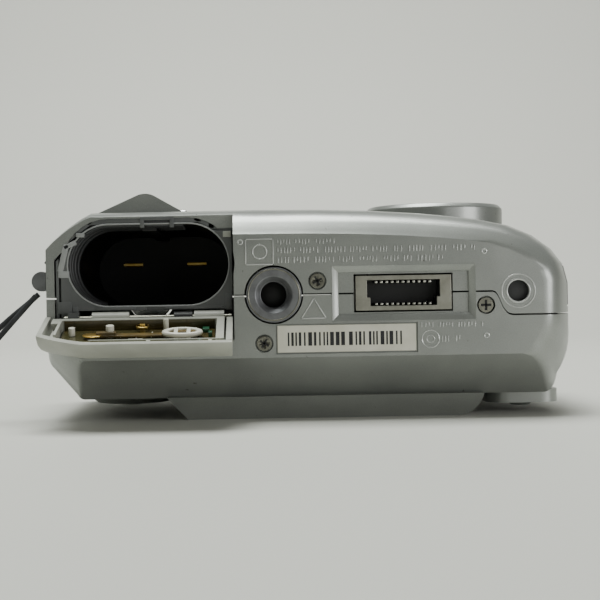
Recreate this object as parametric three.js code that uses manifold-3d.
// Compact digital camera lying on its back, with the battery door open.
// Millimetres. +X is the length (battery end at -X), +Y goes from the bottom face to the top face,
// +Z from the screen side to the lens side. The origin is on the screen pedestal's rest face.
import * as THREE from "three";
import { mergeVertices } from "three/addons/utils/BufferGeometryUtils.js";
import Module from "manifold-3d";

const wasm = await Module();
wasm.setup();

// ---- driving dimensions --------------------------------------------------------------------
const BODY_LENGTH = 102.4;
const BODY_HEIGHT = 65;
const BODY_DEPTH = 35.8;
const PEDESTAL_DEPTH = 4.2;
const WALL = 1.5;
const GAP = 0.3;
const LEFT = -BODY_LENGTH / 2 - 0.3;
const RIGHT = LEFT + BODY_LENGTH;
const BOTTOM = -BODY_HEIGHT / 2;
const TOP = BODY_HEIGHT / 2;
const BACK = PEDESTAL_DEPTH;
const FRONT = BACK + BODY_DEPTH;

const SEAM = { z: 23.55, step: 4.4, from: -18.4, to: -14.6 };
const BAY = { width: 36.1, depth: 4, plate: 2.5 };
const DOOR_EDGE = LEFT + BAY.width;
const RECESS = BOTTOM + BAY.depth;

const CELL = { length: BODY_HEIGHT - 14.5, opening: 30.4, height: 15.4, wall: 0.8, z: 29.6 };
const CELL_X = DOOR_EDGE - 16.05;

const ROD = { r: 0.6, y: BOTTOM + 3.1, z: 19.6, knuckle: 1.25, sweep: 4.9 };
const DOOR = { wall: 0.9, open: 104.5, board: 0.6 };

const BUSH = { r: 5.17, hole: 2.6, depth: 9, x: DOOR_EDGE + 7.4 };
const DOCK = { x: DOOR_EDGE + 31.5, z: 23.55, width: 17.8, height: 6.5, depth: 6 };
const LENS = { x: RIGHT - 24.5, y: 1, ring: 14.2, bore: 12.3, top: 41.5 };
const BARREL = { outer: 11.9, outerBore: 10.2, inner: 9.8, aperture: 3.6, rim: 8.8 };
const DIAL = { x: LEFT + 14.8, y: -4, r: 8.5, bore: 5.3, face: 2.2 };
const POD = { x: RIGHT - 10.4, y: -8, width: 14, length: 26, face: 1.9 };
const SCREEN = { x: -1, y: -2.5, width: 44, length: 36, rim: 4.3, thick: 1 };
const STRAP = { x: LEFT - 0.9, y: BOTTOM + 10.5, z: 26.9, r: 1.9, cord: 1.1 };

// ---- materials -----------------------------------------------------------------------------
const paint = (color, roughness, metalness) =>
  new THREE.MeshStandardMaterial({ color, roughness, metalness });
const SILVER = paint(0xa9acad, 0.38, 0.35);
const GREY = paint(0x6f7273, 0.55, 0);
const BLACK = paint(0x141416, 0.5, 0);
const IVORY = paint(0xb9b9ac, 0.5, 0);
const STEEL = paint(0xc4c4c0, 0.25, 1);
const GOLD = paint(0xc9a45c, 0.3, 1);
const BOARD = paint(0x5f5f3c, 0.5, 0);
const GLASS = paint(0x30343a, 0.08, 0);
const PAPER = paint(0xd4d2c4, 0.7, 0);
const CORD = paint(0x3b3c3e, 0.6, 0);

// ---- helpers: solids -----------------------------------------------------------------------
function solid(geometry) {
  const bare = geometry.index ? geometry.toNonIndexed() : geometry.clone();
  bare.deleteAttribute("normal");
  bare.deleteAttribute("uv");
  const merged = mergeVertices(bare, 1e-4);
  return new wasm.Manifold(
    new wasm.Mesh({
      numProp: 3,
      vertProperties: new Float32Array(merged.attributes.position.array),
      triVerts: new Uint32Array(merged.index.array),
    }),
  );
}

function box(x0, x1, y0, y1, z0, z1) {
  const g = new THREE.BoxGeometry(x1 - x0, y1 - y0, z1 - z0);
  return solid(g.translate((x0 + x1) / 2, (y0 + y1) / 2, (z0 + z1) / 2));
}

// A block of the given size centred on x, y between two heights.
const block = (x, y, width, length, z0, z1) =>
  box(x - width / 2, x + width / 2, y - length / 2, y + length / 2, z0, z1);

const alongZ = (r, x, y, z0, z1, sides = 32) =>
  solid(
    new THREE.CylinderGeometry(r, r, z1 - z0, sides)
      .rotateX(Math.PI / 2)
      .translate(x, y, (z0 + z1) / 2),
  );
const alongY = (r, x, z, y0, y1, sides = 32) =>
  solid(new THREE.CylinderGeometry(r, r, y1 - y0, sides).translate(x, (y0 + y1) / 2, z));
const alongX = (r, y, z, x0, x1, sides = 24) =>
  solid(
    new THREE.CylinderGeometry(r, r, x1 - x0, sides)
      .rotateZ(Math.PI / 2)
      .translate((x0 + x1) / 2, y, z),
  );

// A round piece about an axis along Z, from a closed profile of [radius, height] pairs.
const turned = (profile, x, y, sides = 40) =>
  solid(
    new THREE.LatheGeometry(profile.map(([r, z]) => new THREE.Vector2(r, z)), sides)
      .rotateX(Math.PI / 2)
      .translate(x, y, 0),
  );
const ring = (r0, r1, x, y, z0, z1, sides = 40) =>
  turned([[r0, z0], [r1, z0], [r1, z1], [r0, z1], [r0, z0]], x, y, sides);

// A shape drawn in X and Z, extruded along Y.
function prismY(shape, y0, y1, divisions = 8) {
  const g = new THREE.ExtrudeGeometry(shape, {
    depth: y1 - y0,
    bevelEnabled: false,
    curveSegments: divisions,
  });
  return solid(g.rotateX(Math.PI / 2).translate(0, y1, 0));
}

// A slot shape with round ends, in X and Z.
function stadium(x, z, width, height) {
  const r = height / 2;
  const half = width / 2 - r;
  const s = new THREE.Shape();
  s.moveTo(x - half, z - r);
  s.lineTo(x + half, z - r);
  s.absarc(x + half, z, r, -Math.PI / 2, Math.PI / 2);
  s.lineTo(x - half, z + r);
  s.absarc(x - half, z, r, Math.PI / 2, (Math.PI * 3) / 2);
  return s;
}

const model = new THREE.Group();
function part(name, made, material) {
  const mesh = made.getMesh();
  const g = new THREE.BufferGeometry();
  g.setAttribute("position", new THREE.BufferAttribute(new Float32Array(mesh.vertProperties), 3));
  g.setIndex(new THREE.BufferAttribute(new Uint32Array(mesh.triVerts), 1));
  const piece = new THREE.Mesh(g, material);
  piece.name = name;
  model.add(piece);
  return made;
}

// ---- the body's outer form -----------------------------------------------------------------
// The outline across the body, pulled in by a wall.
function outline(wall) {
  const s = new THREE.Shape();
  const [l, r, b, f] = [LEFT + wall, RIGHT - wall, BACK + wall, FRONT - wall];
  s.moveTo(l + 7, b);
  s.lineTo(r - 4.5, b);
  s.quadraticCurveTo(r - 3, b, r - 2.4, b + 3.4);
  s.quadraticCurveTo(r, b + 6.8, r, b + 11);
  s.lineTo(r, f - 15);
  s.bezierCurveTo(r, f - 9, r - 7.9, f - 3.6, r - 16.9, f - 2.6);
  s.bezierCurveTo(r - 25, f - 1.3, r - 39, f, r - 61, f);
  s.lineTo(l + 9, f - 0.1);
  s.bezierCurveTo(l + 6, f - 1.2, l + 2, f - 4.6, l, f - 7);
  s.lineTo(l, b + 9);
  s.quadraticCurveTo(l, b + 7, l + 1.2, b + 6);
  s.lineTo(l + 5.6, b + 1);
  s.quadraticCurveTo(l + 6.2, b, l + 7, b);
  return s.getPoints(5).slice(0, -1);
}

// How far each side is pulled in at a distance from the bottom face, and at the top face.
// [distance from that face, back, front, left, right]
const BOTTOM_FORM = [
  [0, 7.7, 5.1, 2.2, 9],
  [0.6, 7.08, 4.4, 1.3, 7.2],
  [1.7, 5.95, 2.9, 0.9, 6],
  [3, 4.62, 1.7, 0.8, 5.1],
  [5, 2.57, 0.7, 0.7, 4.1],
  [7.5, 0, 0.2, 0.5, 3],
  [12, 0, 0, 0.2, 1.6],
  [20, 0, 0, 0, 0],
];
const TOP_FORM = [
  [9, 0, 0, 0, 0],
  [4.4, 0.3, 0.6, 0.6, 0.7],
  [2.2, 1.2, 1.7, 1.8, 1.9],
  [0.8, 2.8, 3.4, 3.6, 3.8],
  [0, 5.2, 5.6, 6, 6.4],
];

function bodyForm(wall) {
  const points = outline(wall);
  const stations = [
    ...BOTTOM_FORM.map(([d, ...pull]) => [BOTTOM + wall + d, pull]),
    ...TOP_FORM.map(([d, ...pull]) => [TOP - wall - d, pull]),
  ];
  const [l, r, b, f] = [LEFT + wall, RIGHT - wall, BACK + wall, FRONT - wall];
  const positions = [];
  for (const [y, [back, front, left, right]] of stations)
    for (const p of points)
      positions.push(
        l + left + ((p.x - l) * (r - l - left - right)) / (r - l),
        y,
        b + back + ((p.y - b) * (f - b - back - front)) / (f - b),
      );
  const n = points.length;
  const index = [];
  for (let i = 0; i + 1 < stations.length; i++)
    for (let j = 0; j < n; j++) {
      const [a, c] = [i * n + j, i * n + ((j + 1) % n)];
      index.push(a, a + n, c, c, a + n, c + n);
    }
  const cap = THREE.ShapeUtils.triangulateShape(points, []);
  const last = (stations.length - 1) * n;
  for (const [a, c, e] of cap) {
    index.push(a, c, e);
    index.push(last + a, last + e, last + c);
  }
  const g = new THREE.BufferGeometry();
  g.setAttribute("position", new THREE.Float32BufferAttribute(positions, 3));
  g.setIndex(index);
  const made = solid(g);
  if (made.volume() < 0) throw new Error("the body form is inside out");
  return made;
}

const outer = bodyForm(0);
const inner = bodyForm(WALL);

// ---- the two covers ------------------------------------------------------------------------
// Everything on the screen side of the parting line, moved by a clearance.
function belowSeam(shift) {
  const z = SEAM.z + shift;
  const s = new THREE.Shape();
  s.moveTo(LEFT - 9, -9);
  s.lineTo(RIGHT + 9, -9);
  s.lineTo(RIGHT + 9, z - SEAM.step);
  s.lineTo(RIGHT + SEAM.to, z - SEAM.step);
  s.bezierCurveTo(
    RIGHT + SEAM.to - 2.4, z - SEAM.step,
    RIGHT + SEAM.from + 1.6, z,
    RIGHT + SEAM.from, z,
  );
  s.lineTo(LEFT - 9, z);
  return prismY(s, BOTTOM - 9, TOP + 9);
}

// The room the battery door takes out of the covers, closed and while it swings.
const doorRoom = (gap) =>
  box(LEFT - 9, DOOR_EDGE - gap, BOTTOM - 9, RECESS - gap, ROD.z, FRONT + 9).add(
    alongX(ROD.sweep + 0.4 - gap * 1.4, ROD.y, ROD.z, LEFT - 9, DOOR_EDGE - gap, 48).intersect(
      box(LEFT - 9, DOOR_EDGE, BOTTOM - 9, RECESS + 9, -9, ROD.z + 0.01),
    ),
  );

// A flap cut from the body wall, and the window it leaves.
const wallPiece = (cut, thick) => outer.subtract(bodyForm(thick)).intersect(cut);
const PORT = { y0: BOTTOM + 9.5, y1: LENS.y - 10, z0: 20.4, z1: 28.6, thick: 1.1 };
const CARD = {
  y0: PORT.y1 + 3, y1: TOP - 10.5, z0: BACK - 1, z1: BACK + 9.4, thick: 1.1, sweep: 9.2,
};
const HINGE_OUT = 0.2;
const endBox = (d, gap) =>
  box(RIGHT - 6 + gap, RIGHT + 3, d.y0 + gap, d.y1 - gap, d.z0 + gap, d.z1 - gap);

// The card door's lower edge runs on an arc about its hinge, so it clears the cover.
const cardRoom = (gap) =>
  endBox(CARD, gap).intersect(
    alongY(CARD.sweep - gap, RIGHT + HINGE_OUT, CARD.z1, CARD.y0 - 1, CARD.y1 + 1, 72),
  );

// The raised screen pedestal, a frustum with its rest face at zero.
function pedestal(grow) {
  const [w, h] = [SCREEN.width / 2 + grow, SCREEN.length / 2 + grow];
  const rim = SCREEN.rim;
  const s = new THREE.Shape();
  const x = SCREEN.x + 2.3;
  s.moveTo(x - w - rim + 0.4, 0);
  s.lineTo(x + w + rim - 0.6, 0);
  s.quadraticCurveTo(x + w + rim + 3.4, 0.4, x + w + rim + 4, BACK + 0.2);
  s.lineTo(x - w - rim - 3.4, BACK + 0.2);
  const side = new THREE.Shape();
  side.moveTo(SCREEN.y - h - rim, 0);
  side.lineTo(SCREEN.y + h + rim - 1, 0);
  side.lineTo(SCREEN.y + h + rim + 1, BACK + 0.2);
  side.lineTo(SCREEN.y - h - rim - 2.6, BACK + 0.2);
  const g = new THREE.ExtrudeGeometry(side, { depth: 200, bevelEnabled: false });
  const across = solid(
    g.applyMatrix4(new THREE.Matrix4().set(0, 0, 1, -100, 1, 0, 0, 0, 0, 1, 0, 0, 0, 0, 0, 1)),
  );
  return prismY(s, -60, 60).intersect(across);
}

function roundedPod(grow) {
  const r = 4;
  const s = new THREE.Shape();
  const [w, h] = [POD.width / 2 + grow, POD.length / 2 + grow];
  s.moveTo(POD.x - w + r, POD.y - h);
  s.lineTo(POD.x + w - r, POD.y - h);
  s.absarc(POD.x + w - r, POD.y - h + r, r, -Math.PI / 2, 0);
  s.lineTo(POD.x + w, POD.y + h - r);
  s.absarc(POD.x + w - r, POD.y + h - r, r, 0, Math.PI / 2);
  s.lineTo(POD.x - w + r, POD.y + h);
  s.absarc(POD.x - w + r, POD.y + h - r, r, Math.PI / 2, Math.PI);
  s.lineTo(POD.x - w, POD.y - h + r);
  s.absarc(POD.x - w + r, POD.y - h + r, r, Math.PI, (Math.PI * 3) / 2);
  return solid(
    new THREE.ExtrudeGeometry(s, {
      depth: BACK + 0.2 - POD.face,
      bevelEnabled: false,
      curveSegments: 4,
    }).translate(0, 0, POD.face),
  );
}

const POD_BUTTONS = [-8, 0, 8].map((dy) => ({ x: POD.x, y: POD.y + dy }));
const POD_BUTTON = { r: 2.4, tall: 4.8 };
const ZOOM = { x: DIAL.x, y: DIAL.y + 25, width: 15, length: 6, face: 2.9 };
const EYE = { x: 11, y: TOP - 8, width: 10, height: 6.4 };
const FLASH = { x: -5.5, y: TOP - 11, width: 19, height: 8.5 };
const LAMP = { x: DIAL.x + 14, y: TOP - 11, r: 1.8 };
const SHUTTER = { x: DIAL.x + 1.5, z: 23.6, r: 5.2 };
const TOP_BUTTONS = [
  ["flash_button", -8],
  ["share_button", 4],
].map(([name, x]) => ({ name, x, z: 27.6, r: 2.6 }));
const windowBlock = (d, gap, z0, z1) =>
  block(d.x, d.y, d.width - 2 * gap, d.height - 2 * gap, z0, z1);

const grip = (() => {
  const s = new THREE.Shape();
  const x = LEFT + 19.3;
  s.moveTo(x - 10.5, FRONT - 1);
  s.lineTo(x - 10, FRONT - 0.2);
  s.lineTo(x - 1.6, FRONT + 3.5);
  s.quadraticCurveTo(x, FRONT + 4, x + 1.4, FRONT + 3.3);
  s.lineTo(x + 7.5, FRONT - 0.2);
  s.lineTo(x + 8, FRONT - 1);
  return prismY(s, -20, 24);
})();

const chamberForm = (grow) =>
  prismY(
    stadium(CELL_X, CELL.z, CELL.opening + 2 * grow, CELL.height + 2 * grow),
    RECESS - 9,
    RECESS + BAY.plate + CELL.length + 2 + grow,
  );

let shell = outer.add(pedestal(0)).add(roundedPod(0)).add(grip).subtract(inner);
const screenRoom = block(SCREEN.x, SCREEN.y, SCREEN.width, SCREEN.length, -1, BACK + WALL + 0.2);
shell = shell
  .subtract(screenRoom)
  .subtract(doorRoom(0))
  .subtract(endBox(PORT, 0))
  .subtract(cardRoom(0))
  .subtract(alongY(BUSH.r + GAP, BUSH.x, SEAM.z, BOTTOM - 1, BOTTOM + BUSH.depth))
  .subtract(alongZ(DIAL.r + GAP, DIAL.x, DIAL.y, -1, BACK + 3))
  .subtract(block(ZOOM.x, ZOOM.y, ZOOM.width + 1, ZOOM.length + 1, -1, BACK + 3))
  .subtract(windowBlock(EYE, -GAP, -1, FRONT + 3))
  .subtract(windowBlock(FLASH, -GAP, FRONT - 9, FRONT + 3))
  .subtract(alongZ(LAMP.r + GAP, LAMP.x, LAMP.y, FRONT - 5, FRONT + 6, 20))
  .subtract(alongZ(LENS.ring + GAP, LENS.x, LENS.y, FRONT - 9, FRONT + 6, 48))
  .subtract(alongY(SHUTTER.r + GAP, SHUTTER.x, SHUTTER.z, TOP - 6, TOP + 3));
for (const b of POD_BUTTONS)
  shell = shell.subtract(alongZ(POD_BUTTON.r + GAP, b.x, b.y, -1, BACK + 3, 20));
for (const b of TOP_BUTTONS)
  shell = shell.subtract(alongY(b.r + GAP, b.x, b.z, TOP - 6, TOP + 3, 20));

// Dock recess: a shallow bevelled pan with the connector in it.
const panShape = (grow, depth) =>
  box(
    DOCK.x - 12.1 - grow, DOCK.x + 12.1 + grow,
    BOTTOM - 1, BOTTOM + depth,
    DOCK.z - 3.9 - grow, DOCK.z + 3.9 + grow,
  );
const pan = panShape(1.1, 0.35).add(panShape(0.55, 0.7)).add(panShape(0, 1));
const LOCATOR = { x: DOCK.x + 21.2, z: DOCK.z, r: 2.05, ring: 3.6 };
const locatorRing = alongY(LOCATOR.ring, LOCATOR.x, LOCATOR.z, BOTTOM + 0.6, BOTTOM + 6);
shell = shell
  .add(box(DOCK.x - 14, DOCK.x + 14, BOTTOM + 0.6, BOTTOM + 2.6, DOCK.z - 5.8, DOCK.z + 5.8))
  .subtract(pan)
  .add(locatorRing)
  .subtract(alongY(LOCATOR.r, LOCATOR.x, LOCATOR.z, BOTTOM - 1, BOTTOM + 4.8, 24))
  .subtract(
    box(
      DOCK.x - DOCK.width / 2 - GAP, DOCK.x + DOCK.width / 2 + GAP,
      BOTTOM - 1, BOTTOM + 4,
      DOCK.z - DOCK.height / 2 - GAP, DOCK.z + DOCK.height / 2 + GAP,
    ),
  );

// Bottom screws sit in counterbored pockets.
const SCREWS = [
  { x: BUSH.x + BUSH.r + 2.93, z: 26 },
  { x: BUSH.x - 1.9, z: SEAM.z - BUSH.r - 3.82 },
  { x: DOCK.x + 15.2, z: 21 },
];
const SCREW = { r: 1.4, head: 1.1, sink: 0.3 };
for (const s of SCREWS)
  shell = shell
    .add(alongY(SCREW.r + 1, s.x, s.z, BOTTOM + 0.5, BOTTOM + 2.8, 20))
    .subtract(
      alongY(SCREW.r + GAP, s.x, s.z, BOTTOM - 1, BOTTOM + SCREW.sink + SCREW.head + GAP, 24),
    );
// The label lies in a shallow pocket.
const LABEL = {
  x: DOOR_EDGE + 20.8, z: SEAM.z - BUSH.r - 3.08, width: 25.7, height: 5, thick: 0.12, sink: 0.15,
};
shell = shell.subtract(
  box(
    LABEL.x - LABEL.width / 2 - GAP, LABEL.x + LABEL.width / 2 + GAP,
    BOTTOM - 1, BOTTOM + LABEL.sink + LABEL.thick + GAP,
    LABEL.z - LABEL.height / 2 - GAP, LABEL.z + LABEL.height / 2 + GAP,
  ),
);
const TRIM = { x: LEFT + 24.3, width: 4.4, y0: -4, y1: 16 };
shell = shell
  .subtract(box(TRIM.x - TRIM.width / 2 - GAP, TRIM.x + TRIM.width / 2 + GAP,
    TRIM.y0 - GAP, TRIM.y1 + GAP, FRONT - 0.6, FRONT + 9))
  .subtract(chamberForm(CELL.wall + GAP))
  .subtract(alongX(STRAP.r * 0.5 + GAP, STRAP.y, STRAP.z, LEFT - 3, LEFT + 4, 20));

const largest = (made) => {
  const bodies = made.decompose();
  return bodies.sort((a, b) => b.volume() - a.volume())[0];
};
part("front_cover", largest(shell.subtract(belowSeam(GAP / 2))), SILVER);
part("rear_cover", largest(shell.intersect(belowSeam(-GAP / 2))), SILVER);

// ---- battery bay ---------------------------------------------------------------------------
const bayRoom = bodyForm(WALL + GAP);
const topNotch = box(
  CELL_X - 0.75, CELL_X + 4.05, RECESS - 1, RECESS + 2, CELL.z + 7, CELL.z + 8.4,
);
const bottomNotch = box(CELL_X - 0.5, CELL_X + 4.4, RECESS - 1, RECESS + 1.6, 20, CELL.z);
const bay = box(LEFT, DOOR_EDGE - GAP, RECESS, RECESS + BAY.plate, ROD.z + ROD.knuckle + GAP, FRONT)
  .add(box(LEFT, LEFT + 5.6, RECESS, RECESS + BAY.plate, ROD.z - 3.2, ROD.z + 4))
  .intersect(bayRoom)
  .add(box(LEFT + 5, LEFT + 7, ROD.y - 1.1, RECESS + 1, ROD.z - 1.2, ROD.z + 1.2))
  .subtract(alongX(ROD.r + 0.15, ROD.y, ROD.z, LEFT + 4, LEFT + 9))
  .subtract(alongX(ROD.sweep + 0.3, ROD.y, ROD.z, LEFT - 1, LEFT + 5, 48)
    .intersect(box(LEFT - 1, LEFT + 5, BOTTOM, TOP, 0, ROD.z)))
  .subtract(chamberForm(0))
  .subtract(topNotch)
  .subtract(bottomNotch)
  .subtract(box(LEFT + 3.2, LEFT + 3.6, RECESS - 1, RECESS + 1.4, ROD.z, ROD.z + 13));
part("battery_bay_frame", largest(bay), GREY);

const chamberY = RECESS + BAY.plate + GAP;
const chamber = prismY(
  stadium(CELL_X, CELL.z, CELL.opening + 2 * CELL.wall, CELL.height + 2 * CELL.wall),
  chamberY,
  RECESS + BAY.plate + CELL.length + 2 + CELL.wall,
)
  .subtract(chamberForm(0))
  .add(
    box(CELL_X - 1.4, CELL_X + 1.4, chamberY + 2, chamberY + CELL.length - 4,
      CELL.z + CELL.height / 2 - 1.1, CELL.z + CELL.height / 2 + 0.3),
  );
part("battery_chamber", chamber, BLACK);
for (const [side, name] of [[-1, "left"], [1, "right"]]) {
  const y1 = RECESS + BAY.plate + CELL.length + 2 - GAP;
  const x = CELL_X + side * 7.2;
  part(
    `battery_contact_${name}`,
    box(x - 2.1, x + 2.1, y1 - 0.6, y1, CELL.z + 1.1, CELL.z + 2)
      .add(box(x - 2.2, x + 2.2, y1 - 2.4, y1 - 0.4, CELL.z + 1.3, CELL.z + 1.8)),
    GOLD,
  );
}

// ---- battery door, drawn closed and swung open about its rod -------------------------------
part(
  "hinge_rod",
  alongX(ROD.r, ROD.y, ROD.z, LEFT + 4.2, DOOR_EDGE - 0.5),
  STEEL,
);
const SLEEVE = { x0: DOOR_EDGE - 11.3, x1: DOOR_EDGE - 7.8 };
part(
  "door_sleeve",
  ring(ROD.r + GAP / 3, 1.15, 0, 0, SLEEVE.x0, SLEEVE.x1, 24)
    .rotate([0, 90, 0])
    .translate([0, ROD.y, ROD.z]),
  BLACK,
);

// Turn a piece drawn closed into its open place.
const swing = (made) =>
  made.translate([0, -ROD.y, -ROD.z]).rotate([DOOR.open, 0, 0]).translate([0, ROD.y, ROD.z]);

const doorForm = outer
  .intersect(doorRoom(GAP))
  .intersect(box(LEFT - 9, DOOR_EDGE, BOTTOM - 9, RECESS - GAP, 0, FRONT + 9))
  .subtract(box(LEFT - 9, LEFT + 8.6, BOTTOM - 9, RECESS, 0, ROD.z + GAP));
const rim = bodyForm(DOOR.wall);
const shellPiece = doorForm
  .subtract(rim)
  .add(box(DOOR_EDGE - GAP - 1.1, DOOR_EDGE - GAP, BOTTOM, RECESS - GAP, ROD.z + 2.2, FRONT - 3)
    .intersect(outer));
part("door_shell", swing(largest(shellPiece)), IVORY);

const doorInside = bodyForm(DOOR.wall + 2 * GAP);
const tray = doorInside.intersect(
  box(LEFT, DOOR_EDGE - 2 * GAP - 1.2, BOTTOM, RECESS - GAP, ROD.z + 0.4, FRONT),
);
const boardRoom = (gap) =>
  box(LEFT + 4.2 + gap, DOOR_EDGE - 3.2 - gap, BOTTOM, 0, ROD.z + 3 + gap, FRONT - 4.2 - gap);
const KNUCKLES = [
  [LEFT + 9.5, LEFT + 16.4],
  [DOOR_EDGE - 7.5, DOOR_EDGE - 1.9],
];
let carrier = tray
  .subtract(boardRoom(0))
  .subtract(box(LEFT + 1.8, LEFT + 3.7, RECESS - 1.6, 0, ROD.z + 5, FRONT - 6))
  .subtract(box(LEFT, DOOR_EDGE, ROD.y - 1.5, 0, ROD.z - 3, ROD.z + 1.7));
const HOOK = { width: 1.8, reach: 1.5 };
carrier = carrier.add(
  box(CELL_X + 1.9, CELL_X + 1.9 + HOOK.width, RECESS - GAP - 1, RECESS + HOOK.reach,
    CELL.z + 5.4, CELL.z + 6.1),
);
for (const [x0, x1] of KNUCKLES)
  carrier = carrier
    .add(alongX(ROD.knuckle, ROD.y, ROD.z, x0, x1))
    .add(box(x0, x1, ROD.y - 1.6, ROD.y - 0.2, ROD.z - 0.4, ROD.z + 2.4));
carrier = carrier.subtract(alongX(ROD.r + GAP / 3, ROD.y, ROD.z, LEFT, DOOR_EDGE));
part("door_carrier", swing(largest(carrier)), IVORY);
part(
  "door_board",
  swing(
    boardRoom(GAP).intersect(doorInside).intersect(
      box(LEFT, 0, BOTTOM + DOOR.wall + GAP, BOTTOM + DOOR.wall + GAP + DOOR.board, 0, FRONT),
    ),
  ),
  BOARD,
);
const strapY = BOTTOM + DOOR.wall + DOOR.board + 2 * GAP;
part(
  "door_contact",
  swing(
    box(CELL_X - 9.6, CELL_X + 9.6, strapY, strapY + 0.3, ROD.z + 7.6, ROD.z + 9.2)
      .add(box(CELL_X - 9, CELL_X - 5.4, strapY, strapY + 0.8, ROD.z + 7.8, ROD.z + 9))
      .add(box(CELL_X + 5.4, CELL_X + 9, strapY, strapY + 0.8, ROD.z + 7.8, ROD.z + 9)),
  ),
  GOLD,
);

// ---- bottom face: tripod bush, dock connector, label, screws -------------------------------
const bush = alongY(BUSH.r, BUSH.x, SEAM.z, BOTTOM, BOTTOM + BUSH.depth, 48)
  .subtract(alongY(BUSH.hole, BUSH.x, SEAM.z, BOTTOM - 1, BOTTOM + BUSH.depth - 1.5))
  .subtract(
    solid(
      new THREE.CylinderGeometry(BUSH.hole - 0.1, BUSH.hole + 0.9, 1, 32)
        .translate(BUSH.x, BOTTOM + 0.45, SEAM.z),
    ),
  );
part("tripod_bush", bush, STEEL);

const frameY = BOTTOM + 0.7;
const dockBox = (grow, y0, y1) =>
  box(
    DOCK.x - DOCK.width / 2 - grow, DOCK.x + DOCK.width / 2 + grow,
    y0, y1,
    DOCK.z - DOCK.height / 2 - grow, DOCK.z + DOCK.height / 2 + grow,
  );
const PLUG = { width: 13.55, height: 4.8, key: 0.6, deep: 5 };
const plugRoom = (grow, y0, y1) =>
  box(
    DOCK.x - PLUG.width / 2 - grow, DOCK.x + PLUG.width / 2 + grow,
    y0, y1,
    DOCK.z - PLUG.height / 6 - grow, DOCK.z + PLUG.height / 2 + grow,
  ).add(
    box(
      DOCK.x - PLUG.width / 2 + PLUG.key - grow, DOCK.x + PLUG.width / 2 - PLUG.key + grow,
      y0, y1,
      DOCK.z - PLUG.height / 2 - grow, DOCK.z,
    ),
  );
part(
  "dock_connector_shell",
  dockBox(0, frameY, frameY + DOCK.depth)
    .subtract(plugRoom(0, frameY - 1, frameY + 0.6))
    .subtract(dockBox(-0.4, frameY + 0.4, frameY + DOCK.depth + 1)),
  STEEL,
);
let insert = dockBox(-0.4 - GAP, frameY + 0.4 + GAP, frameY + DOCK.depth)
  .subtract(plugRoom(0, frameY - 1, frameY + PLUG.deep));
const PIN = { count: 11, pitch: 1, rows: 3.4 };
for (let i = 0; i < PIN.count; i++)
  for (const side of [-1, 1]) {
    const x = DOCK.x + (i - (PIN.count - 1) / 2) * PIN.pitch;
    const z = DOCK.z + (side * PIN.rows) / 2;
    insert = insert.add(
      box(x - 0.2, x + 0.2, frameY + 1.2, frameY + PLUG.deep + 0.2, z - 0.2 + side * 0.35,
        z + 0.2 + side * 0.35),
    );
  }
part("dock_connector_insert", insert, BLACK);

part(
  "blank_label",
  box(
    LABEL.x - LABEL.width / 2, LABEL.x + LABEL.width / 2,
    BOTTOM + LABEL.sink, BOTTOM + LABEL.sink + LABEL.thick,
    LABEL.z - LABEL.height / 2, LABEL.z + LABEL.height / 2,
  ),
  PAPER,
);
SCREWS.forEach(({ x, z }, i) => {
  const y0 = BOTTOM + SCREW.sink;
  part(
    `bottom_screw_${i + 1}`,
    alongY(SCREW.r, x, z, y0, y0 + SCREW.head, 24)
      .subtract(box(x - 0.95, x + 0.95, y0 - 1, y0 + 0.6, z - 0.2, z + 0.2))
      .subtract(box(x - 0.2, x + 0.2, y0 - 1, y0 + 0.6, z - 0.95, z + 0.95)),
    STEEL,
  );
});

// ---- ends ----------------------------------------------------------------------------------
const post = alongX(STRAP.r * 0.5, STRAP.y, STRAP.z, STRAP.x - 0.2, LEFT + 2.6, 20)
  .add(alongY(STRAP.r, STRAP.x, STRAP.z, STRAP.y - 1.3, STRAP.y + 1.3, 28))
  .subtract(block(STRAP.x - 0.1, STRAP.y, 1.2, 1.4, STRAP.z - 3, STRAP.z + 3))
  .subtract(box(LEFT, LEFT + 9, STRAP.y - 3, STRAP.y + 3, STRAP.z - 3, STRAP.z + 3)
    .subtract(alongX(STRAP.r * 0.5, STRAP.y, STRAP.z, LEFT - 1, LEFT + 9, 20)));
part("strap_post", post.subtract(
  box(LEFT - 0.12, LEFT + 0.5, STRAP.y - 4, STRAP.y + 4, STRAP.z - 4, STRAP.z + 4)
    .subtract(alongX(STRAP.r * 0.5, STRAP.y, STRAP.z, LEFT - 3, LEFT + 9, 20))), STEEL);
part("port_cover", largest(wallPiece(endBox(PORT, GAP), PORT.thick)), GREY);
part("card_door", largest(wallPiece(cardRoom(GAP), CARD.thick)), SILVER);
const JACK = { inset: 5, depth: 9 };
part(
  "signal_jack",
  box(RIGHT - JACK.inset - JACK.depth, RIGHT - JACK.inset, PORT.y0 + 1.4, PORT.y1 - 1.4,
    PORT.z0 + 1, PORT.z1 - 1)
    .subtract(box(RIGHT - JACK.inset - 5, RIGHT, PORT.y0 + 2.6, PORT.y0 + 7.6,
      PORT.z0 + 2.6, PORT.z1 - 2.6))
    .subtract(alongX(1.7, PORT.y1 - 4, (PORT.z0 + PORT.z1) / 2, RIGHT - JACK.inset - 6, RIGHT)),
  BLACK,
);
const SLOT = { thick: 3, length: 32, z: BACK + 5.2 };
part(
  "card_slot",
  box(RIGHT - 5.5 - SLOT.length, RIGHT - 5.5, CARD.y0 + 0.6, CARD.y1 - 0.6,
    SLOT.z - SLOT.thick / 2, SLOT.z + SLOT.thick / 2)
    .subtract(box(RIGHT - 4.7 - SLOT.length, RIGHT, CARD.y0 + 1.8, CARD.y1 - 1.8,
      SLOT.z - 1.1, SLOT.z + 1.1)),
  STEEL,
);

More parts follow.
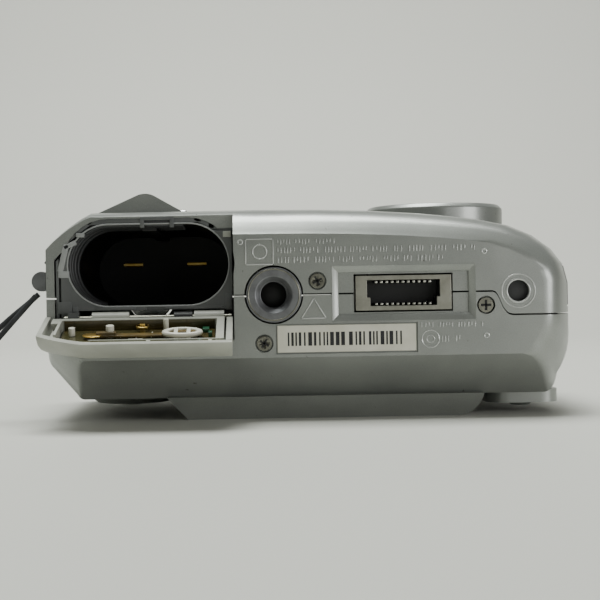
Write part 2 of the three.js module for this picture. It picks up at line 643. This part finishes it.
// ---- lens ----------------------------------------------------------------------------------
const SENSOR_Z = SLOT.z + SLOT.thick / 2 + GAP;
part("sensor_board", block(LENS.x, LENS.y, 24, 22, SENSOR_Z, SENSOR_Z + 1), BOARD);
part("image_sensor", block(LENS.x, LENS.y, 9, 8, SENSOR_Z + 1.3, SENSOR_Z + 2.4), BLACK);
const base = SENSOR_Z + 3.7;
part(
  "lens_base",
  ring(3.4, LENS.ring - 0.4, LENS.x, LENS.y, base, base + 2)
    .add(ring(BARREL.outer + GAP, LENS.ring - 0.4, LENS.x, LENS.y, base, FRONT - 9)),
  BLACK,
);
part(
  "rear_lens",
  turned([[0, base + 2.3], [4.6, base + 2.3], [4.6, base + 3], [3, base + 3.7], [0, base + 4]],
    LENS.x, LENS.y, 32),
  GLASS,
);
part(
  "lens_ring",
  turned(
    [
      [LENS.bore, FRONT - 8.7], [LENS.ring, FRONT - 8.7], [LENS.ring, LENS.top - 0.8],
      [LENS.ring - 0.8, LENS.top], [LENS.bore + 0.6, LENS.top], [LENS.bore, LENS.top - 0.7],
      [LENS.bore, FRONT - 8.7],
    ],
    LENS.x, LENS.y, 48,
  ),
  SILVER,
);
const LENS_FACE = LENS.top - 0.9;
const barrelLow = base + 4.3;
part(
  "zoom_barrel_outer",
  ring(BARREL.outerBore, BARREL.outer, LENS.x, LENS.y, barrelLow, LENS_FACE, 40),
  GREY,
);
part(
  "zoom_barrel_inner",
  turned(
    [
      [BARREL.rim, barrelLow + 1], [BARREL.inner, barrelLow + 1], [BARREL.inner, LENS_FACE - 0.2],
      [BARREL.aperture + 0.9, LENS_FACE - 0.2], [BARREL.aperture, LENS_FACE - 0.8],
      [BARREL.aperture, LENS_FACE - 1.2], [BARREL.rim, LENS_FACE - 1.2],
      [BARREL.rim, LENS_FACE - 3.2], [BARREL.aperture + 1.2, LENS_FACE - 3.2],
      [BARREL.aperture + 1.2, LENS_FACE - 7.5], [BARREL.rim, LENS_FACE - 7.5],
      [BARREL.rim, barrelLow + 1],
    ],
    LENS.x, LENS.y, 40,
  ),
  BLACK,
);
const leafZ = LENS_FACE - 2.4;
for (const [side, name] of [[-1, "low"], [1, "high"]]) {
  const r = BARREL.aperture + 0.6;
  const half = box(LENS.x - 9, LENS.x + 9, Math.min(side * 0.15, side * 9) + LENS.y,
    Math.max(side * 0.15, side * 9) + LENS.y, 0, 99);
  part(
    `barrier_leaf_${name}`,
    alongZ(r, LENS.x, LENS.y, leafZ, leafZ + 0.7, 32).intersect(half),
    BLACK,
  );
}
const glassTop = LENS_FACE - 4;
part(
  "front_lens",
  turned(
    [
      [0, glassTop - 3], [4.4, glassTop - 2.2], [4.4, glassTop - 1], [3, glassTop - 0.4],
      [0, glassTop],
    ],
    LENS.x, LENS.y, 40,
  ),
  GLASS,
);

// ---- flash, viewfinder, lamp ---------------------------------------------------------------
part(
  "flash_window",
  windowBlock(FLASH, 0, FRONT - 2, FRONT + 3).intersect(bodyForm(0.15)),
  GLASS,
);
part(
  "flash_reflector",
  block(FLASH.x, FLASH.y, 17, 6.4, FRONT - 7.6, FRONT - 2.4)
    .subtract(block(FLASH.x, FLASH.y, 16.2, 5, FRONT - 6.4, FRONT - 2)),
  STEEL,
);
part("flash_capacitor", alongX(4, FLASH.y - 11, FRONT - 10, FLASH.x - 5, FLASH.x + 16), BLACK);
part(
  "viewfinder_front",
  windowBlock(EYE, 0, FRONT - 3.2, FRONT + 3).intersect(bodyForm(0.2)),
  GLASS,
);
part(
  "viewfinder_tunnel",
  block(EYE.x, EYE.y, 9.6, 6, BACK + 3, FRONT - 3.6)
    .subtract(block(EYE.x, EYE.y, 8, 4.6, BACK - 1, FRONT + 3)),
  BLACK,
);
part(
  "viewfinder_eyepiece",
  windowBlock(EYE, 0, BACK - 1, BACK + 2.6).intersect(bodyForm(0.2)),
  GLASS,
);
part(
  "timer_lamp",
  alongZ(LAMP.r, LAMP.x, LAMP.y, FRONT - WALL - 0.1, FRONT - 0.2, 20),
  GLASS,
);
part(
  "grip_trim",
  box(TRIM.x - TRIM.width / 2, TRIM.x + TRIM.width / 2, TRIM.y0, TRIM.y1,
    FRONT - 0.3, FRONT + 1.5),
  STEEL,
);

// ---- screen and boards ---------------------------------------------------------------------
part(
  "screen_window",
  block(SCREEN.x, SCREEN.y, SCREEN.width - 2 * GAP, SCREEN.length - 2 * GAP, 0, SCREEN.thick),
  GLASS,
);
part(
  "screen_module",
  block(SCREEN.x, SCREEN.y, SCREEN.width - 2, SCREEN.length - 2, SCREEN.thick + GAP, BACK + 0.6),
  BLACK,
);
const MAIN = { x0: DOOR_EDGE + 3, x1: LENS.x - LENS.ring - 0.8, z: 11, thick: 1.2 };
part(
  "main_board",
  box(MAIN.x0, MAIN.x1, BOTTOM + BUSH.depth + 2, EYE.y - 5, MAIN.z, MAIN.z + MAIN.thick),
  BOARD,
);

// ---- controls on the back ------------------------------------------------------------------
const dialBack = BACK + WALL;
part(
  "mode_dial",
  turned(
    [
      [DIAL.bore, DIAL.face], [DIAL.r - 1.2, DIAL.face], [DIAL.r, DIAL.face + 1],
      [DIAL.r, dialBack], [DIAL.bore, dialBack], [DIAL.bore, DIAL.face],
    ],
    DIAL.x, DIAL.y, 48,
  ),
  SILVER,
);
const STICK = { ring: 4.8, ringBore: 3.4, stem: 3, cap: 2.5, z: dialBack - 0.6 };
part(
  "joystick_gimbal",
  ring(STICK.ringBore, STICK.ring, DIAL.x, DIAL.y, STICK.z - 0.5, STICK.z + 0.5, 32),
  BLACK,
);
part("joystick_stem", alongZ(STICK.stem, DIAL.x, DIAL.y, STICK.z - 1.2, STICK.z + 0.4), BLACK);
part(
  "joystick_cap",
  turned(
    [
      [0, STICK.z - 3.6], [STICK.cap - 0.9, STICK.z - 3.5], [STICK.cap, STICK.z - 2.8],
      [STICK.cap, STICK.z - 1.9], [0, STICK.z - 1.9],
    ],
    DIAL.x, DIAL.y, 32,
  ),
  STEEL,
);
part(
  "zoom_rocker",
  block(ZOOM.x, ZOOM.y, ZOOM.width, ZOOM.length, ZOOM.face, dialBack)
    .subtract(block(ZOOM.x, ZOOM.y, 3, ZOOM.length + 1, ZOOM.face - 1, ZOOM.face + 0.5)),
  SILVER,
);
["delete_button", "menu_button", "review_button"].forEach((name, i) => {
  const b = POD_BUTTONS[i];
  const face = POD.face - 0.7;
  part(
    name,
    turned(
      [
        [0, face - 0.1], [POD_BUTTON.r - 0.6, face], [POD_BUTTON.r, face + 0.5],
        [POD_BUTTON.r, face + POD_BUTTON.tall], [0, face + POD_BUTTON.tall],
      ],
      b.x, b.y, 24,
    ),
    SILVER,
  );
});

// ---- controls on the top face --------------------------------------------------------------
const onTop = (b, tall, proud, sides) =>
  turned([[0, -tall], [b.r, -tall], [b.r, proud - 0.4], [b.r - 0.5, proud], [0, proud + 0.1]],
    0, 0, sides)
    .rotate([-90, 0, 0])
    .translate([b.x, TOP, b.z]);
part("shutter_button", onTop(SHUTTER, 4, 1.1, 40), STEEL);
for (const b of TOP_BUTTONS) part(b.name, onTop(b, 3.4, 0.8, 24), SILVER);

// ---- wrist strap, lying on the surface beside the camera -----------------------------------
// Two thin strands run down from the post to a joiner, and a webbing loop lies beyond it.
const strand = (points) => {
  const route = new THREE.CatmullRomCurve3(points.map((p) => new THREE.Vector3(...p)));
  const s = new THREE.Shape();
  for (let i = 0; i < 8; i++) {
    const a = (i / 8) * Math.PI * 2;
    const [x, y] = [(Math.cos(a) * STRAP.cord) / 2, (Math.sin(a) * STRAP.cord) / 2];
    if (i) s.lineTo(x, y);
    else s.moveTo(x, y);
  }
  return solid(
    new THREE.ExtrudeGeometry(s, { steps: 26, extrudePath: route, bevelEnabled: false }),
  );
};
const strands = {
  strap_cord_a: [
    [-53.4, -20.3, 24.5], [-55.5, -20.4, 22.7], [-58.6, -20.6, 20.2], [-62, -20.9, 17.2],
    [-65.6, -21.2, 13.8], [-69, -21.6, 10.4], [-72.4, -22, 7.1], [-75.8, -22.5, 4.2],
    [-79.2, -23.1, 2.1], [-82.8, -23.8, 1], [-86.5, -24.4, 0.75], [-90, -25, 0.75],
  ],
  strap_cord_b: [
    [-53.4, -23.8, 24.2], [-55.4, -24, 22], [-58.2, -24.2, 18.9], [-61.3, -24.5, 15.4],
    [-64.6, -24.9, 11.7], [-68, -25.4, 8.2], [-71.6, -26, 5.1], [-75.4, -26.6, 2.8],
    [-79.2, -27.1, 1.4], [-83, -27.4, 0.85], [-86.5, -27.5, 0.75], [-90, -27.5, 0.75],
  ],
};
const shift = LEFT + 51.5;
for (const [name, points] of Object.entries(strands))
  part(name, strand(points.map(([x, y, z]) => [x + shift, y, z])), CORD);
const JOINER = { x: -90.3 + shift, y: -26.2, length: 9, width: 7, tall: 4.4 };
part(
  "strap_joiner",
  box(JOINER.x - JOINER.length, JOINER.x, JOINER.y - JOINER.width / 2,
    JOINER.y + JOINER.width / 2, 0, JOINER.tall),
  BLACK,
);
const WEB = { width: 8, thick: 1.1, y: JOINER.y, r: 14, run: 46 };
WEB.x = JOINER.x - JOINER.length - GAP - WEB.r - WEB.run / 2;
const oval = (r) => {
  const s = new THREE.Shape();
  s.absarc(WEB.x + WEB.run / 2, WEB.y, r, -Math.PI / 2, Math.PI / 2);
  s.lineTo(WEB.x - WEB.run / 2, WEB.y + r);
  s.absarc(WEB.x - WEB.run / 2, WEB.y, r, Math.PI / 2, (Math.PI * 3) / 2);
  return s;
};
const band = oval(WEB.r);
band.holes.push(oval(WEB.r - WEB.thick));
part(
  "strap_webbing",
  solid(
    new THREE.ExtrudeGeometry(band, {
      depth: WEB.width, bevelEnabled: false, curveSegments: 16,
    }),
  ),
  CORD,
);

export default model;
